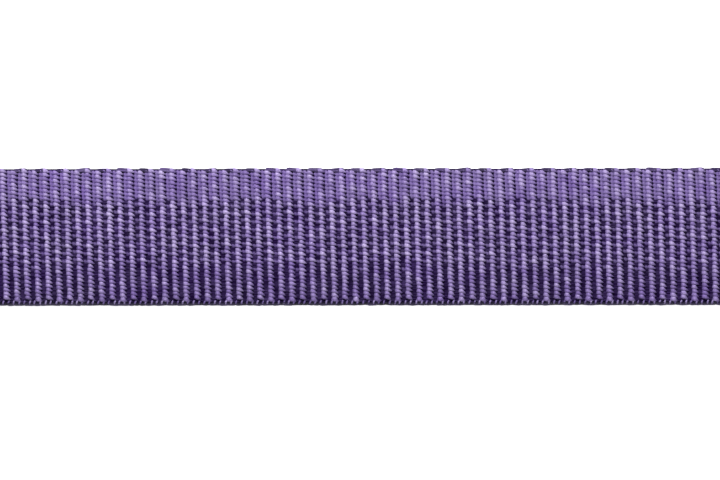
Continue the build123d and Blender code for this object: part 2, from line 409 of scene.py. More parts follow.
def weave_face(tree, given, points, rib, yarn, crown, side):
    """The crowns and bars of one face, on top where side is 1 and underneath where it is -1."""
    first = HEM + CROWN_PITCH / 4
    across = maths(tree, "MULTIPLY_ADD", yarn, CROWN_PITCH / 2, first)
    share = maths(tree, "DIVIDE", across, given["Width"])
    crown_id = maths(tree, "MULTIPLY_ADD", rib, 512.0, yarn)
    chance = random_numbers(tree, crown_id, 5, 0 if side > 0 else 10)

    # Which zone the crown is in, from 0 to 1, and whether its yarn reaches back over the valley.
    ramp = {"interpolation_type": "SMOOTHSTEP"}
    closed = add_node(tree, "ShaderNodeMapRange", share, 0.71, 0.81, 0.0, 1.0, **ramp)
    bared = add_node(tree, "ShaderNodeMapRange", share, 0.22, 0.36, 1.0, 0.0, **ramp)
    stripe = maths(tree, "ADD", closed, bared)
    stripe = maths(tree, "SUBTRACT", 1.0, stripe)
    four = maths(tree, "ADD", yarn, 1.0)
    four = maths(tree, "FLOORED_MODULO", four, 4.0)
    forward = maths(tree, "LESS_THAN", four, 2.0)
    picked = maths(tree, "MULTIPLY", forward, stripe)
    barred = maths(tree, "ADD", picked, closed)
    hem = add_node(tree, "ShaderNodeMapRange", share, 0.12, 0.0, 0.0, 1.0)
    last = maths(tree, "LESS_THAN", yarn, 1.0)

    # Length, width and height of the crown.
    length = weighted(tree, 0.62, (barred, 0.13), (bared, 0.07), (hem, 0.06), (chance[0], 0.06))
    length = maths(tree, "MULTIPLY", length, given["Rib pitch"])
    width = weighted(tree, 1.26, (hem, 0.2), (last, 0.25), (chance[1], 0.08))
    width = maths(tree, "MULTIPLY", width, CROWN_PITCH)
    height = weighted(tree, 1.0, (stripe, -0.1), (picked, 0.15), (chance[2], 0.07))
    height = maths(tree, "MULTIPLY", height, RELIEF)
    size = vector(tree, length, width, height)

    # Its place on the flat web.
    along = maths(tree, "ADD", rib, 0.5)
    along = maths(tree, "MULTIPLY", along, given["Rib pitch"])
    along = maths(tree, "MULTIPLY_ADD", chance[3], 0.06 * MM, along)
    over = maths(tree, "SUBTRACT", share, 0.5)
    over = maths(tree, "MULTIPLY", over, given["Width"])
    level = maths(tree, "MULTIPLY_ADD", given["Thickness"], 0.5, -RELIEF)
    level = maths(tree, "MULTIPLY", level, float(side))
    place = vector(tree, along, over, level)

    # Its lean, most at the hem, and turned over for the lower face.
    lean = weighted(tree, -0.16, (hem, -0.3), (chance[4], 0.1))
    turn = vector(tree, 0.0 if side > 0 else pi, 0.0, lean)

    # Painted light and shade: forward crowns are painted brighter, and the near part of the web and the hem
    # darker. open_floor paints the flanks of far-side crowns less dark. Only the chance term is the yarn's
    # own tone.
    painted_light_by_zone = ((stripe, 0.03), (picked, 0.06), (closed, 0.03), (hem, -0.06))
    tone = weighted(tree, 0.55, *painted_light_by_zone, (chance[1], 0.1))
    open_floor = weighted(tree, 0.35, (closed, 0.3))
    crowns = set_crowns(tree, points, crown, place, turn, size, side, tone=tone, open_floor=open_floor)

    # The bars lie low in the valley behind each crown that has one.
    bar_along = maths(tree, "MULTIPLY_ADD", given["Rib pitch"], -0.42, along)
    bar_place = vector(tree, bar_along, over, level)
    bar_length = maths(tree, "MULTIPLY", given["Rib pitch"], 0.58)
    bar_width = weighted(tree, 1.0, (closed, 0.3))
    bar_width = maths(tree, "MULTIPLY", bar_width, CROWN_PITCH)
    bar_height = weighted(tree, 0.5, (closed, 0.1))
    bar_height = maths(tree, "MULTIPLY", bar_height, RELIEF)
    bar_size = vector(tree, bar_length, bar_width, bar_height)
    # The bars are painted darker than the crowns, as shade low in the valley, and lighter towards the far
    # edge.
    bar_tone = weighted(tree, 0.3, (closed, 0.18))
    bar_floor = weighted(tree, 0.5, (closed, 0.3))
    # Where two zones meet, chance decides which crowns have a bar.
    no_bar = maths(tree, "MULTIPLY_ADD", chance[0], 0.4, barred)
    no_bar = maths(tree, "LESS_THAN", no_bar, 0.5)
    marks = {"tone": bar_tone, "open_floor": bar_floor, "unwanted": no_bar}
    bars = set_crowns(tree, points, low_crown, bar_place, turn, bar_size, side, **marks)
    unwanted = add_node(tree, "GeometryNodeInputNamedAttribute", "unwanted")
    bars = add_node(tree, "GeometryNodeDeleteGeometry", bars, unwanted, domain="INSTANCE")
    return [crowns, bars]


def web_body(tree, given, top, bottom):
    """The slab of packed yarn under the crowns, which shows as the floor of each valley, painted nearly black
    as shade.
    """
    length = maths(tree, "MULTIPLY", given["Ribs"], given["Rib pitch"])
    width = maths(tree, "ADD", given["Width"], -0.3 * MM)
    crowned_faces = bool(top) + bool(bottom)
    cut = -0.95 * RELIEF * crowned_faces
    depth = maths(tree, "ADD", given["Thickness"], cut)
    size = vector(tree, length, width, depth)
    rows = maths(tree, "ADD", given["Ribs"], 1.0)
    slab = add_node(tree, "GeometryNodeMeshCube", size, rows, 13, 2)
    start = maths(tree, "MULTIPLY", given["First rib"], given["Rib pitch"])
    middle = maths(tree, "MULTIPLY_ADD", length, 0.5, start)
    offset = vector(tree, middle, 0.0, 0.475 * RELIEF * (bool(bottom) - bool(top)))
    marked = add_node(tree, "GeometryNodeSetPosition", slab, named={"Offset": offset})
    # Painted shade: a very low tone, and the darker valley material that finish_tree gives it.
    return mark_points(tree, marked, {"tone": 0.03, "open_floor": 1.0, "valley": 1.0})


def add_row(
    tree, given, crown, edge, inset, step, phase, size, up=0.0, roll=0.0, yaw=0.0, tone=0.5, foot=0.0
):
    """A row of crowns along an edge, 1 for far and -1 for near, with a step and a phase counted in ribs."""
    after = maths(tree, "ADD", given["First rib"], given["Ribs"])
    first = maths(tree, "DIVIDE", given["First rib"], step)
    first = maths(tree, "CEIL", first)
    after = maths(tree, "DIVIDE", after, step)
    after = maths(tree, "CEIL", after)
    count = maths(tree, "SUBTRACT", after, first)
    points = add_node(tree, "GeometryNodeMeshLine", named={"Count": count})
    index = add_node(tree, "GeometryNodeInputIndex")
    number = maths(tree, "ADD", index, first)
    chance = random_numbers(tree, number, 3, 20 + int(10 * inset / MM))
    along = maths(tree, "MULTIPLY_ADD", number, step, phase)
    along = maths(tree, "MULTIPLY_ADD", chance[0], 0.05, along)
    along = maths(tree, "MULTIPLY", along, given["Rib pitch"])
    inwards = -edge * inset
    across = maths(tree, "MULTIPLY_ADD", given["Width"], edge / 2, inwards)
    place = vector(tree, along, across, up)
    yaw = maths(tree, "MULTIPLY_ADD", chance[1], 0.12, yaw)
    turn = vector(tree, roll, 0.0, yaw)
    swell = maths(tree, "MULTIPLY_ADD", chance[2], 0.08, 1.0)
    sized = add_node(tree, "ShaderNodeVectorMath", size, operation="SCALE", named={"Scale": swell})
    tone = maths(tree, "MULTIPLY_ADD", chance[2], 0.1, tone)
    side = 0 if roll else (1 if up >= 0 else -1)
    return set_crowns(tree, points, crown, place, turn, sized, side, tone=tone, open_floor=foot)


def weft_loops(tree, given):
    """The weft turns back at the far edge as a loop over every two ribs, with its light end at the right."""
    facing_out = {"roll": -pi / 2, "step": 2.0, "edge": 1, "inset": 0.74 * MM, "foot": 1.0}
    loop_size = (1.75 * RIB_PITCH, 1.7 * MM, 0.78 * MM)
    end_size = (0.5 * RIB_PITCH, 1.4 * MM, 0.76 * MM)
    loops = add_row(tree, given, loop, phase=0.0, size=loop_size, tone=0.06, **facing_out)
    ends = add_row(tree, given, plain_crown, phase=0.5, size=end_size, tone=0.37, **facing_out)
    return [loops, ends]


def wrap_along_path(tree, given, flat):
    """Maps the web for painting, leans the ribs, arches the web across, and lays it along the path."""
    position = add_node(tree, "GeometryNodeInputPosition")
    stored = store(tree, flat, "woven_place", position, "FLOAT_VECTOR")
    here = add_node(tree, "ShaderNodeSeparateXYZ", add_node(tree, "GeometryNodeInputPosition"))
    first = maths(tree, "MULTIPLY", given["First rib"], given["Rib pitch"])
    length = maths(tree, "MULTIPLY", given["Ribs"], given["Rib pitch"])
    after = maths(tree, "ADD", first, length)

    # The map for painting: the upper face takes one half and the lower face the other, each a little
    # sheared, so that no upright face is lost.
    u = maths(tree, "MULTIPLY_ADD", here.outputs["Z"], 0.3, here.outputs["X"])
    u = maths(tree, "SUBTRACT", u, first)
    u = maths(tree, "DIVIDE", u, length)
    u = add_node(tree, "ShaderNodeMapRange", u, -0.04, 1.04, 0.0, 1.0)
    v = maths(tree, "MULTIPLY_ADD", here.outputs["Z"], 0.3, here.outputs["Y"])
    v = maths(tree, "DIVIDE", v, given["Width"])
    v = add_node(tree, "ShaderNodeMapRange", v, -0.54, 0.54, 0.01, 0.49)
    facing = add_node(tree, "ShaderNodeSeparateXYZ", add_node(tree, "GeometryNodeInputNormal"))
    own_side = add_node(tree, "GeometryNodeInputNamedAttribute", "side")
    side = maths(tree, "MULTIPLY_ADD", own_side, 10.0, facing.outputs["Z"])
    side = add_node(tree, "GeometryNodeFieldOnDomain", side, domain="FACE", data_type="FLOAT")
    upper = maths(tree, "GREATER_THAN", side, 0.0)
    v = maths(tree, "MULTIPLY_ADD", upper, 0.5, v)
    painted = store(tree, stored, "OFBake", vector(tree, u, v, 0.0), "FLOAT2", "CORNER")

    x, y = here.outputs["X"], here.outputs["Y"]
    along = maths(tree, "MULTIPLY_ADD", y, -RIB_LEAN, x)
    on_path = maths(tree, "SUBTRACT", along, given["Path start"])
    # The arch rises at the middle, and by nothing at the edges, where out squared is a quarter.
    out = maths(tree, "DIVIDE", here.outputs["Y"], given["Width"])
    out = maths(tree, "MULTIPLY", out, out)
    rise = maths(tree, "MULTIPLY_ADD", out, -4.0, 1.0)
    arch = add_node(
        tree,
        "ShaderNodeMapRange",
        along,
        first,
        after,
        given["Arch at start"],
        given["Arch at end"],
        interpolation_type="SMOOTHSTEP",
    )
    up = maths(tree, "MULTIPLY_ADD", rise, arch, here.outputs["Z"])
    spot = add_node(
        tree, "GeometryNodeSampleCurve", named={"Curves": given["Path"], "Length": on_path}, mode="LENGTH"
    )
    outwards = add_node(
        tree, "ShaderNodeVectorMath", spot.outputs["Tangent"], (0.0, 1.0, 0.0), operation="CROSS_PRODUCT"
    )
    lifted = add_node(tree, "ShaderNodeVectorMath", outwards, operation="SCALE", named={"Scale": up})
    sideways = vector(tree, 0.0, here.outputs["Y"], 0.0)
    place = add_node(tree, "ShaderNodeVectorMath", spot.outputs["Position"], lifted, operation="ADD")
    place = add_node(tree, "ShaderNodeVectorMath", place, sideways, operation="ADD")
    return add_node(tree, "GeometryNodeSetPosition", painted, named={"Position": place})


def finish_tree(tree, given, parts):
    """Joins the parts, makes them real, lays them along the path and gives them their material."""
    joined = add_node(tree, "GeometryNodeJoinGeometry")
    for part in parts:
        tree.links.new(part.outputs[0], joined.inputs[0])
    real = add_node(tree, "GeometryNodeRealizeInstances", joined)
    wrapped = wrap_along_path(tree, given, real)
    finished = add_node(tree, "GeometryNodeSetMaterial", wrapped, named={"Material": given["Material"]})
    # The valley floors take the darker valley material, which is painted shade.
    valley = add_node(tree, "GeometryNodeInputNamedAttribute", "valley")
    floor_given = {"Selection": valley, "Material": given["Valley material"]}
    finished = add_node(tree, "GeometryNodeSetMaterial", finished, named=floor_given)
    add_node(tree, "NodeGroupOutput", finished)
    return tree


WEB_SIZES = {
    "Path start": "Float",
    "First rib": "Int",
    "Ribs": "Int",
    "Rib pitch": "Float",
    "Crowns across": "Int",
    "Width": "Float",
    "Thickness": "Float",
    "Arch at start": "Float",
    "Arch at end": "Float",
    "Material": "Material",
    "Valley material": "Material",
}


def weave_tree(name, top, bottom):
    """The woven web. top and bottom are the crowns for each face, or None for a face that is out of sight."""
    tree, given = new_tree(name, WEB_SIZES)
    points, rib, yarn = number_crowns(tree, given)
    parts = [web_body(tree, given, top, bottom)]
    for crown, side in ((top, 1), (bottom, -1)):
        if crown:
            parts += weave_face(tree, given, points, rib, yarn, crown, side)
    if top or bottom:
        parts += weft_loops(tree, given)
    return finish_tree(tree, given, parts)


clear_weave = weave_tree("woven_clear_span", fine_crown, plain_crown)
both_faces = weave_tree("woven_both_faces", plain_crown, plain_crown)
lower_face = weave_tree("woven_lower_face", None, plain_crown)
packed_web = weave_tree("packed_web", None, None)
print("nodes in the weave:", len(clear_weave.nodes))

# %% [markdown]
# **The locking edge.** A needle loom catches each weft loop at the near edge with a locking thread, which
# is knitted into a dark chain. The chain is a row of short overlapping crowns that face outwards, and the
# weft shows through it as small light slanted stitches, two to a rib, on the upper and the lower side. The
# same row maker that laid the weft loops lays these.


# %% Geometry Nodes: the knitted edge
def chain_tree(name):
    """The locking thread's chain along the near edge, with the light stitches of weft that it catches."""
    tree, given = new_tree(name, WEB_SIZES)
    cord_size = (1.25 * RIB_PITCH, 2.0 * MM, 0.72 * MM)
    dash_size = (0.95 * MM, 0.5 * MM, 0.3 * MM)
    purl_size = (0.7 * RIB_PITCH, 0.6 * MM, 0.45 * MM)
    leaning = {"edge": -1, "step": 0.5, "phase": 0.1, "yaw": radians(68), "size": dash_size, "tone": 0.55}
    parts = [
        add_row(tree, given, loop, -1, 0.6 * MM, 0.5, 0.0, cord_size, roll=pi / 2, tone=0.1),
        add_row(tree, given, stitch, inset=0.6 * MM, up=0.75 * MM, **leaning),
        add_row(tree, given, stitch, inset=0.61 * MM, up=-0.75 * MM, roll=pi, **leaning),
        add_row(tree, given, low_crown, -1, 1.15 * MM, 1.0, 0.6, purl_size, up=0.35 * MM, tone=0.3, yaw=-0.3),
    ]
    return finish_tree(tree, given, parts)


knitted_edge = chain_tree("knitted_edge")
print("nodes in the edge:", len(knitted_edge.nodes))

# %% [markdown]
# A tree runs as a modifier on the path it follows. Its result is turned into a plain mesh, which the frame
# can move like any other, and the path is thrown away.


# %% Running a tree along a path
def path_object(name, points):
    """A curve of straight steps through points on the XZ plane."""
    curve = bpy.data.curves.new(name, "CURVE")
    curve.dimensions = "3D"
    line = curve.splines.new("POLY")
    line.points.add(len(points) - 1)
    for spot, (x, z) in zip(line.points, points):
        spot.co = (x, 0, z, 1)
    return linked(name, curve)


def run_tree(name, tree, path, **values):
    """The mesh that a tree makes on a path, as a new object. Underscores in a value's name are spaces."""
    modifier = path.modifiers.new(tree.name, "NODES")
    modifier.node_group = tree
    for item in tree.interface.items_tree:
        key = item.name.lower().replace(" ", "_")
        if item.in_out == "INPUT" and key in values:
            modifier[item.identifier] = values[key]
    made = path.evaluated_get(bpy.context.evaluated_depsgraph_get())
    mesh = bpy.data.meshes.new_from_object(made)
    bpy.data.objects.remove(path)
    mesh.name = name
    print(f"{name}: {len(mesh.polygons)} faces")
    return linked(name, mesh)


MARGIN_RIBS = 2  # how far a path runs past the ribs laid on it, because end crowns reach over


def web_and_edge(name, tree, points, path_start, first, last, pitch=RIB_PITCH, arch=(0.0, 0.0)):
    """The web from one rib number to another along the points, and its knitted edge."""
    sizes = {
        "path_start": path_start,
        "first_rib": first,
        "ribs": last - first,
        "rib_pitch": pitch,
        "crowns_across": CROWNS_ACROSS,
        "width": WEB_WIDTH,
        "thickness": WEB_THICKNESS,
        "arch_at_start": arch[0],
        "arch_at_end": arch[1],
        "valley_material": painted_shade_valley_yarn,
    }
    made = []
    for suffix, kind, material, slot in (
        ("_web", tree, violet_yarn, "webbing"),
        ("_edge", knitted_edge, locking_yarn, "locking_thread"),
    ):
        piece = run_tree(name + suffix, kind, path_object(name + "_path", points), material=material, **sizes)
        made.append(piece)
    return made


print("a path runs", MARGIN_RIBS, "ribs past its web at both ends")

# %% [markdown]
# ** The span.** The clear web between the splices is cut into pieces where it has to bend: a straight piece
# on each half, which goes with that half, a piece over the middle fold, and a piece at the inner end of each
# splice; these last three stay where they lie. The cuts fall in valleys between ribs, and the ribs are
# numbered right through, so the pattern runs on without a seam. Under load such web cups a little, so the
# span is arched across its width, and the arch fades out towards the splices.

# %% The clear span
FOLD_RIBS = 13  # from the middle fold to the end of the bending piece
SPAN_RIBS = 35  # from the middle fold to the end of the straight piece
BODY_RIBS = 46  # from the middle fold to the first rib under the tail
ARCH = 0.9 * MM  # how much higher the middle of the web lies than its edges


def straight_web(name, first, last, arch=(ARCH, ARCH)):
    """A straight piece of the clear span and its knitted edge."""
    begin = (first - MARGIN_RIBS) * RIB_PITCH
    end = (last + MARGIN_RIBS) * RIB_PITCH
    line = [(begin, LOWER_PLY_Z), (end, LOWER_PLY_Z)]
    return web_and_edge(name, clear_weave, line, begin, first, last, arch=arch)


def blend_at(pieces):
    """Bakes each piece's placement into its mesh; the piece is tied to no body."""
    for piece in pieces:
        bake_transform(piece)


fold = straight_web("span_fold", -FOLD_RIBS, FOLD_RIBS)
blend_at(fold)
for side, way in ENDS:
    near, far = sorted((way * FOLD_RIBS, way * SPAN_RIBS))
    web, edge = straight_web(f"{side}_span", near, far)
    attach(web, f"{side}_span")
    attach(edge, f"{side}_span")
    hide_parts(f"{side}_span")
    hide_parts(f"{side}_span_locking_thread")
    near, far = sorted((way * SPAN_RIBS, way * BODY_RIBS))
    arch = (ARCH, 0.0) if way > 0 else (0.0, ARCH)
    bend = straight_web(f"{side}_bend", near, far, arch)
    blend_at(bend)

# %% [markdown]
# **The splices and eyes.** At each end the same band runs on under the tail, rises into the eye, turns back
# round the bearing, comes down onto the splice and ends as the tail. So one path serves the whole end. It
# is drawn the way a turtle would walk it: so far straight on, then so far round a bend of some radius. The
# right-hand walk is the left-hand one seen in a mirror, and is walked the other way, so that the ribs lean
# the same way throughout.

# %% The path round an eye
THROAT_RADIUS = 30 * MM  # how gently the upper leg leaves the splice
RAMP_RADIUS = 40 * MM  # of the two bends by which the lower leg rises into the sleeve
LEAD = 4 * MM  # straight web between the round nose of the eye and its bends
WALK_STEP = 0.5 * MM

eye_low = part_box("right_eye_web")[0]
sleeve_low, sleeve_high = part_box("right_eye_sleeve")
BEARING = Vector(eye_mount["pos_m"])
BEARING_RADIUS = eye_mount["dims"]["r_mm"] * MM
SLEEVE_HEIGHT = sleeve_high.x - BEARING.x - BEARING_RADIUS
SLEEVE_LEG = BEARING.x - sleeve_low.x
CROWN_RADIUS = BEARING_RADIUS + SLEEVE_HEIGHT / 2
LOWER_LEG_Z = SLEEVE_HEIGHT / 2
BODY_X = BODY_RIBS * RIB_PITCH

ramp_x = eye_low.x + WEB_THICKNESS + LEAD
ramp_turn = acos(1 - (LOWER_LEG_Z - LOWER_PLY_Z) / (2 * RAMP_RADIUS))
ramp_end_x = ramp_x + 2 * RAMP_RADIUS * sin(ramp_turn)
arcs_along = BEARING.x - ramp_x
arcs_up = UPPER_PLY_Z + THROAT_RADIUS - BEARING.z
arcs_apart = hypot(arcs_along, arcs_up)
leg_angle = asin((CROWN_RADIUS + THROAT_RADIUS) / arcs_apart) - atan2(arcs_up, arcs_along)
upper_leg = sqrt(arcs_apart**2 - (CROWN_RADIUS + THROAT_RADIUS) ** 2)


def walk(x, z, heading, moves):
    """Points and headings along straight moves and bends. A move is a length and the angle turned over it."""
    steps = [(x, z, heading)]
    for length, turn in moves:
        count = max(1, ceil(length / WALK_STEP))
        for _ in range(count):
            middle = heading + turn / count / 2
            x += length / count * cos(middle)
            z += length / count * sin(middle)
            heading += turn / count
            steps.append((x, z, heading))
    return steps


to_ramp = ramp_x - BODY_X
to_leg = 2 * RAMP_RADIUS * ramp_turn
lower_leg = BEARING.x - ramp_end_x
crown_turn = pi + leg_angle
from_leg = THROAT_RADIUS * leg_angle
margin = MARGIN_RIBS * RIB_PITCH
moves = [
    (margin + to_ramp, 0),
    (to_leg / 2, ramp_turn),
    (to_leg / 2, -ramp_turn),
    (lower_leg, 0),
    (CROWN_RADIUS * crown_turn, crown_turn),
    (upper_leg, 0),
    (from_leg, -leg_angle),
    (to_ramp + margin, 0),
]
eye_walk = walk(BODY_X - margin, LOWER_PLY_Z, 0.0, moves)
right_path = [(x, z) for x, z, _ in eye_walk]
left_path = [(-x, z) for x, z in reversed(right_path)]
around = sum(length for length, _ in moves) - 2 * margin
END_RIBS = round(around / RIB_PITCH)
EYE_PITCH = around / END_RIBS
print(f"round an end: {around / MM:.1f} mm, {END_RIBS} ribs of {EYE_PITCH / MM:.3f} mm")
print("back at", [round(c / MM, 2) for c in right_path[-1]], "mm")

# %% [markdown]
# The band is cut again where the splice ends: the body and the tail go with the splice, which stays stiff,
# the crown goes with the eye, and the legs between stay where they lie. Inside the sleeve nobody sees the
# weave, so there the band is only packed yarn.

# %% The splices and the eyes
SPLICE_RIBS = 34  # ribs of the band that stay with the splice, under the tail and in it
SLEEVE_OVERLAP = 8 * MM  # how far the weave runs into the sleeve

into_sleeve = int((to_ramp + to_leg + lower_leg - SLEEVE_LEG + SLEEVE_OVERLAP) / EYE_PITCH)
out_of_sleeve = END_RIBS - int((to_ramp + from_leg + upper_leg - SLEEVE_LEG + SLEEVE_OVERLAP) / EYE_PITCH)
sections = {
    "body": (0, SPLICE_RIBS, lower_face),
    "lower_leg": (SPLICE_RIBS, into_sleeve, both_faces),
    "crown": (into_sleeve, out_of_sleeve, packed_web),
    "upper_leg": (out_of_sleeve, END_RIBS - SPLICE_RIBS, both_faces),
    "tail": (END_RIBS - SPLICE_RIBS, END_RIBS, lower_face),
}
print("sections:", {name: ribs[:2] for name, ribs in sections.items()})

for side, way in ENDS:
    made = {}
    for name, (begin, end, tree) in sections.items():
        first, last = sorted((way * (BODY_RIBS + begin), way * (BODY_RIBS + end)))
        path_first = BODY_RIBS if way > 0 else -BODY_RIBS - END_RIBS
        path_start = path_first * EYE_PITCH - margin
        points = right_path if way > 0 else left_path
        made[name] = web_and_edge(f"{side}_{name}", tree, points, path_start, first, last, EYE_PITCH)
    for name in ("body", "tail"):
        for piece, node in zip(made[name], ("ply", "locking_thread")):
            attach(piece, f"{side}_splice")
            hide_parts(f"{side}_{name}_{node}")
    for name in ("lower_leg", "upper_leg"):
        blend_at(made[name])
        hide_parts(f"{side}_eye_locking_thread")
    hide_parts(f"{side}_eye_web")
    for piece in made["crown"]:
        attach(piece, f"{side}_eye")

# %% [markdown]
# **Cut tails.** A hot knife cuts the band, and the melted ends of its yarns set in an uneven bead. It is a
# bar with a rounded section whose thickness wanders, which keeps a straight cut from looking machined. The
# bead, and later the sleeves and the label, are shells laid through rings of points.


# %% The sealed ends of the tails
def ringed_piece(name, shell, rings, closed, material):
    """A piece whose shell joins each ring to the next, closed into a loop of rings or capped at its ends."""
    pairs = list(zip(rings, rings[1:]))
    if closed:
        pairs.append((rings[-1], rings[0]))
    for before, after in pairs:
        for b in range(len(before)):
            c = (b + 1) % len(before)
            shell.faces.new((before[b], before[c], after[c], after[b])).smooth = True
    if not closed:
        shell.faces.new(rings[0])
        shell.faces.new(rings[-1])
    bmesh.ops.recalc_face_normals(shell, faces=shell.faces)
    mesh = bpy.data.meshes.new(name)
    shell.to_mesh(mesh)
    shell.free()
    mesh.materials.append(material)
    print(f"{name}: {len(mesh.polygons)} faces")
    return linked(name, mesh)


def melted_bead(name, x, z):
    """An uneven bar across the web."""
    shell = bmesh.new()
    rings = []
    steps, sides = 60, 8
    for a in range(steps + 1):
        y = (a / steps - 0.5) * (WEB_WIDTH - 0.3 * MM)
        end = 0.55 if a in (0, steps) else 1.0
        rough = noise.noise(Vector((x * 40, a * 0.6, z)))
        tall = (1.08 + 0.14 * rough) * MM * end
        deep = (0.5 + 0.16 * noise.noise(Vector((x * 40 + 9, a * 0.8, z)))) * MM * end
        turns = [2 * pi * b / sides for b in range(sides)]
        rings.append([shell.verts.new((x + deep * cos(t), y, z + tall * sin(t))) for t in turns])
    return ringed_piece(name, shell, rings, False, melted)


for side, way in ENDS:
    bead = melted_bead(f"{side}_tail_seal", way * (BODY_X + 0.2 * MM), UPPER_PLY_Z)
    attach(bead, f"{side}_splice")

# %% [markdown]
# **Sewing.** The splice is held by rows of lockstitch: needle thread on top, bobbin thread underneath. Each
# stitch is one rounded crown with the same taper at both ends, pulled down into the web where the needle
# went through. A seam is a grid of them: rows along the splice, closed by a row across at each end.


# %% Geometry Nodes: seams
def seam_tree(name, lengthwise):
    """Rows of stitches across, and rows along as well if lengthwise, centred on Middle X."""
    names = ("Middle X", "Length", "Reach", "Rows", "Stitch", "Thickness", "Up", "Roll")
    sizes = dict.fromkeys(names, "Float")
    tree, given = new_tree(name, {**sizes, "Material": "Material"})
    step_back = maths(tree, "SUBTRACT", given["Length"], given["Stitch"])
    narrow = maths(tree, "SUBTRACT", given["Reach"], given["Thickness"])
    count = maths(tree, "DIVIDE", given["Length"], given["Stitch"])
    count = maths(tree, "ROUND", count)
    shorter = maths(tree, "SUBTRACT", given["Length"], given["Thickness"])
    reach = maths(tree, "SUBTRACT", given["Reach"], given["Stitch"])
    count_across = maths(tree, "DIVIDE", given["Reach"], given["Stitch"])
    count_across = maths(tree, "ROUND", count_across)
    grids = [(shorter, reach, 2 if lengthwise else 1, count_across, pi / 2)]
    if lengthwise:
        grids.append((step_back, narrow, count, given["Rows"], 0.0))
    joined = add_node(tree, "GeometryNodeJoinGeometry")
    for length, width, columns, rows, yaw in grids:
        points = add_node(tree, "GeometryNodeMeshGrid", length, width, columns, rows)
        index = add_node(tree, "GeometryNodeInputIndex")
        chance = random_numbers(tree, index, 2, int(10 * yaw))
        offset = vector(tree, given["Middle X"], 0.0, given["Up"])
        spot = add_node(tree, "GeometryNodeInputPosition")
        place = add_node(tree, "ShaderNodeVectorMath", spot, offset, operation="ADD")
        tilt = maths(tree, "MULTIPLY_ADD", chance[0], 0.05, yaw)
        turn = vector(tree, given["Roll"], 0.0, tilt)
        long = maths(tree, "MULTIPLY", given["Stitch"], 1.04)
        high = maths(tree, "MULTIPLY", given["Thickness"], 0.75)
        size = vector(tree, long, given["Thickness"], high)
        tone = maths(tree, "MULTIPLY_ADD", chance[1], 0.12, 0.7)
        sewn = set_crowns(tree, points, stitch, place, turn, size, tone=tone, open_floor=0.3)
        tree.links.new(sewn.outputs[0], joined.inputs[0])
    real = add_node(tree, "GeometryNodeRealizeInstances", joined)
    stored = store(tree, real, "woven_place", add_node(tree, "GeometryNodeInputPosition"), "FLOAT_VECTOR")
    finished = add_node(tree, "GeometryNodeSetMaterial", stored, named={"Material": given["Material"]})
    add_node(tree, "NodeGroupOutput", finished)
    return tree


box_seam = seam_tree("box_seam", True)
cross_seam = seam_tree("cross_seam", False)
NO_PATH = [(0, 0), (MM, 0)]  # a seam lies flat and follows no path
STITCH = 3.0 * MM
SEWING_THREAD = 0.95 * MM
ROWS = 5

for side in ("left", "right"):
    for thread, up, roll in (("needle", SPLICE_TOP_Z - 0.5 * MM, 0.0), ("bobbin", 0.66 * MM, pi)):
        node = f"{side}_{thread}_thread"
        low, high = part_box(node)
        seam = run_tree(
            f"{side}_{thread}_stitches",
            box_seam,
            path_object("seam_start", NO_PATH),
            middle_x=(low.x + high.x) / 2,
            length=high.x - low.x,
            reach=high.y - low.y,
            rows=float(ROWS),
            stitch=STITCH,
            thickness=SEWING_THREAD,
            up=up,
            roll=roll,
            material=sewing_yarn,
        )
        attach(seam, f"{side}_splice")
        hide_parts(node)

# %% [markdown]
# **Swept shells.** The sleeve and the label are both an outline carried along a walk. Rings of points are
# laid at every step, square to the heading, and joined to their neighbours. A tube also has rings for its
# inner wall, laid in the opposite order, so that outside, lip and inside are one closed loop of rings.


# %% A helper that sweeps an outline
def rounded_outline(half_width, half_height, corner, across=10, bend=5):
    """Points round a flat rounded rectangle, as pairs of across and up."""
    points = []
    for quarter, (sign_y, sign_z) in enumerate(((1, 1), (-1, 1), (-1, -1), (1, -1))):
        centre_y = sign_y * (half_width - corner)
        centre_z = sign_z * (half_height - corner)
        for b in range(bend):
            angle = (quarter + b / (bend - 1)) * pi / 2
            points.append((centre_y + corner * cos(angle), centre_z + corner * sin(angle)))
        if quarter in (0, 2):
            last_y, last_z = points[-1]
            points += [(last_y * (1 - 2 * a / across), last_z) for a in range(1, across)]
    return points


def swept_shell(name, rings, closed, material):
    """A mesh through rings of (station, distance, outline): a closed loop of rings, or capped at its ends."""
    shell = bmesh.new()
    woven_place = shell.verts.layers.float_vector.new("woven_place")
    laid = []
    for (x, z, heading), distance, outline in rings:
        ring = []
        for across, up in outline:
            point = shell.verts.new((x - up * sin(heading), across, z + up * cos(heading)))
            point[woven_place] = (distance, across + up, 0)
            ring.append(point)
        laid.append(ring)
    return ringed_piece(name, shell, laid, closed, material)


print("an outline has", len(rounded_outline(1.0, 1.0, 0.2)), "points")

# %% [markdown]
# **Sleeves.** Each eye runs through a flat tube of heavy cloth that takes the wear of the hook. The tube is
# woven in the round, so its ribs are hoops, 1.8 mm apart. Its walls are not quite even, and its cut ends
# are turned over into a thick rounded lip.

# %% The sleeves
SLEEVE_WALL = 1.6 * MM
HOOP_PITCH = 1.8 * MM
HOOP_RELIEF = 0.28 * MM
half_sleeve_width = sleeve_high.y - HOOP_RELIEF
half_sleeve_height = SLEEVE_HEIGHT / 2 - HOOP_RELIEF

sleeve_moves = [(SLEEVE_LEG, 0), (CROWN_RADIUS * crown_turn, crown_turn), (SLEEVE_LEG, 0)]
sleeve_length = sum(length for length, _ in sleeve_moves)


def mirrored(station):
    """A station of a walk, seen in a mirror at X = 0."""
    x, z, heading = station
    return (-x, z, pi - heading)


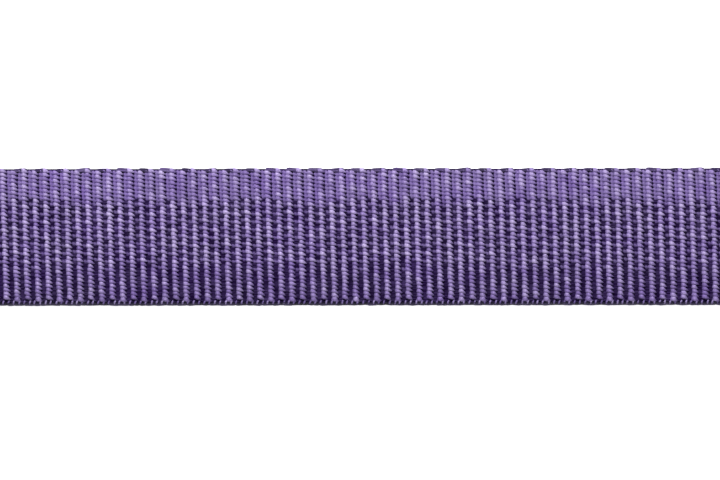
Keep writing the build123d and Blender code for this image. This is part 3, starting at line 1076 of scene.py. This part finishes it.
def sleeve_rings(stations, side):
    """Rings for the outside from one end to the other, then for the inside on the way back."""
    distances = [sleeve_length * i / (len(stations) - 1) for i in range(len(stations))]
    outside, inside = [], []
    for station, distance in zip(stations, distances):
        hoop = HOOP_RELIEF * abs(sin(pi * distance / HOOP_PITCH)) ** 0.7
        uneven = 0.18 * MM * noise.noise(Vector((distance / (11 * MM), side, 0)))
        from_end = min(distance, sleeve_length - distance)
        lip = 0.35 * MM * max(0, 1 - from_end / (2.5 * MM))
        grown = hoop + uneven + lip
        outer = rounded_outline(half_sleeve_width + grown, half_sleeve_height + grown, 2.3 * MM)
        outside.append((station, distance, outer))
        inner_width = sleeve_high.y - SLEEVE_WALL
        inner_height = SLEEVE_HEIGHT / 2 - SLEEVE_WALL
        inside.append((station, distance, rounded_outline(inner_width, inner_height, 1.1 * MM)))
    return outside + inside[::-1]


eye_stations = walk(sleeve_low.x, LOWER_LEG_Z, 0.0, sleeve_moves)
for side, way in ENDS:
    stations = eye_stations if way > 0 else [mirrored(station) for station in eye_stations]
    sleeve = swept_shell(f"{side}_sleeve", sleeve_rings(stations, way), True, sleeve_cloth)
    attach(sleeve, f"{side}_eye")
    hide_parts(f"{side}_eye_sleeve")

# %% [markdown]
# The sleeve is tacked to the web by a row of stitches across each end, on both faces. Each row is made flat
# at the origin, then turned and carried to its station.


# %% The sleeve tacks
TACK_INSET = 4 * MM
tack_low, tack_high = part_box("right_sleeve_tacks")


def carried(piece, station, face, lift):
    """The piece's mesh moved from the origin to a face of the band at a station."""
    x, z, heading = station
    along = Vector((cos(heading), 0, sin(heading))) * face
    out = Vector((-sin(heading), 0, cos(heading))) * face
    spot = Vector((x, 0, z)) + out * lift
    matrix = Matrix((along, (0, 1, 0), out)).transposed().to_4x4()
    matrix.translation = spot
    piece.data.transform(matrix)
    return piece


def joined(name, pieces):
    """Several pieces as one object."""
    with bpy.context.temp_override(active_object=pieces[0], selected_editable_objects=pieces):
        bpy.ops.object.join()
    pieces[0].name = name
    pieces[0].data.name = name
    return pieces[0]


def cross_row(name, reach, length, thickness, material, middle_x=0.0, up=0.0):
    """One row of stitches across."""
    return run_tree(
        name,
        cross_seam,
        path_object("seam_start", NO_PATH),
        middle_x=middle_x,
        length=length,
        reach=reach,
        rows=1.0,
        stitch=length,
        thickness=thickness,
        up=up,
        roll=0.0,
        material=material,
    )


inset_steps = round(TACK_INSET / WALK_STEP)
for side, way in ENDS:
    rows = []
    for station in (eye_stations[inset_steps], eye_stations[-1 - inset_steps]):
        station = station if way > 0 else mirrored(station)
        for face in (1, -1):
            row = cross_row("tack_row", tack_high.y - tack_low.y, STITCH, SEWING_THREAD, sewing_yarn)
            rows.append(carried(row, station, face, SLEEVE_HEIGHT / 2 - 0.45 * MM))
    tacks = joined(f"{side}_sleeve_tack_stitches", rows)
    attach(tacks, f"{side}_eye")
    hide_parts(f"{side}_sleeve_tacks")

# %% [markdown]
# **The label.** Polyester slings carry a blue label. It is one strip of satin cloth: its end is folded
# under and sewn to the splice, and the rest lies over the splice as a flap that lifts to be read. This one
# is blank.

# %% The label and its stitches
tab_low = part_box("label_tab")[0]
flap_low, flap_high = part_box("label_flap")
HINGE = joint_at["label_lift"]
LABEL_PLY = flap_high.z - flap_low.z
LABEL_CLOTH = LABEL_PLY - 0.04 * MM
FLAP_CURL = 0.045  # radians by which the flap has curled up at its free end
UNDER_STOP = 1.4 * MM  # how far the layer underneath stops short of the hinge

fold_radius = LABEL_PLY / 2
under = HINGE.x - UNDER_STOP - tab_low.x - fold_radius
over = flap_high.x - tab_low.x - fold_radius
label_moves = [(under, 0), (pi * fold_radius, -pi), (over * 0.3, 0), (over * 0.7, FLAP_CURL)]
label_length = sum(length for length, _ in label_moves)
label_walk = walk(HINGE.x - UNDER_STOP, HINGE.z - LABEL_PLY, pi, label_moves)
label_half = (flap_high.y - flap_low.y) / 2
label_outline = rounded_outline(label_half, LABEL_CLOTH / 2, LABEL_CLOTH / 2 - 0.01 * MM)
label_rings = [
    (station, label_length * i / (len(label_walk) - 1), label_outline) for i, station in enumerate(label_walk)
]
label = swept_shell("identification_label", label_rings, False, label_cloth)
blend_at([label])
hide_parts("label_tab", "label_flap")

thread_low, thread_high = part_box("label_thread")
label_stitches = cross_row(
    "label_stitches",
    thread_high.y - thread_low.y,
    1.5 * MM,
    0.6 * MM,
    white_yarn,
    middle_x=(thread_low.x + thread_high.x) / 2,
    up=thread_high.z - 0.25 * MM,
)
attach(label_stitches, "left_splice")
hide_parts("label_thread")

# %% [markdown]
# **Camera.** The view is straight down on the middle of the span through a long lens, so that the web runs
# across the frame and both ends are out of sight.

# %% Camera
VIEW_WIDTH = 157.45 * MM  # how much of the sling the frame takes in
RAISED = 0.77 * MM  # how far the web lies above the middle of the frame
TWIST = radians(-0.065)  # how far the camera is turned about its own axis
camera_data = bpy.data.cameras.new("camera")
camera_data.lens = 200
camera_data.sensor_width = 36
camera = linked("camera", camera_data)
face_z = LOWER_PLY_Z + WEB_THICKNESS / 2 + ARCH / 2
camera.location = (0, -RAISED, face_z + VIEW_WIDTH * camera_data.lens / camera_data.sensor_width)
camera.rotation_euler = (0, 0, TWIST)
bpy.context.scene.camera = camera
print("camera at", [round(c, 4) for c in camera.location])

# %% [markdown]
# **Studio.** A pale floor and soft light. The floor is a light table: it glows a little, which keeps it
# white under the web. The key light comes over the upper left, so each crown is bright on one flank and
# throws a short shadow into the crease beside it.

# %% Floor and lights
FLOOR_DROP = 0.3 * MM  # the lowest crowns reach nearly this far below the CAD model
bpy.ops.mesh.primitive_grid_add(size=6, location=(0, 0, -FLOOR_DROP))
floor = bpy.context.object
floor.name = "floor"
pale = bpy.data.materials.new("pale_light_table")
pale.use_nodes = True
table_shader = pale.node_tree.nodes["Principled BSDF"]
table_shader.inputs["Base Color"].default_value = linear("#F4F4F4")
table_shader.inputs["Roughness"].default_value = 0.9
table_shader.inputs["Emission Color"].default_value = (1, 1, 1, 1)
table_shader.inputs["Emission Strength"].default_value = 0.85
floor.data.materials.append(pale)
print("floor", FLOOR_DROP / MM, "mm down")


def area_light(name, direction, elevation, distance, size, power):
    """A square lamp that faces the span from a direction, in degrees from +X, and an elevation."""
    data = bpy.data.lights.new(name, "AREA")
    data.size = size
    data.energy = power
    lamp = linked(name, data)
    turn, up = radians(direction), radians(elevation)
    spot = Vector((cos(turn) * cos(up), sin(turn) * cos(up), sin(up))) * distance
    lamp.location = spot
    lamp.rotation_euler = spot.to_track_quat("Z", "Y").to_euler()
    print(f"{name}: {power} W")


area_light("key_light", 112, 50, 1.1, 0.25, 16.5)
area_light("top_light", 90, 80, 1.6, 1.4, 5)
world = bpy.data.worlds.new("studio")
world.use_nodes = True
world.node_tree.nodes["Background"].inputs["Color"].default_value = (1, 1, 1, 1)
world.node_tree.nodes["Background"].inputs["Strength"].default_value = 0.22
bpy.context.scene.world = world
bpy.context.scene.view_settings.view_transform = "Standard"
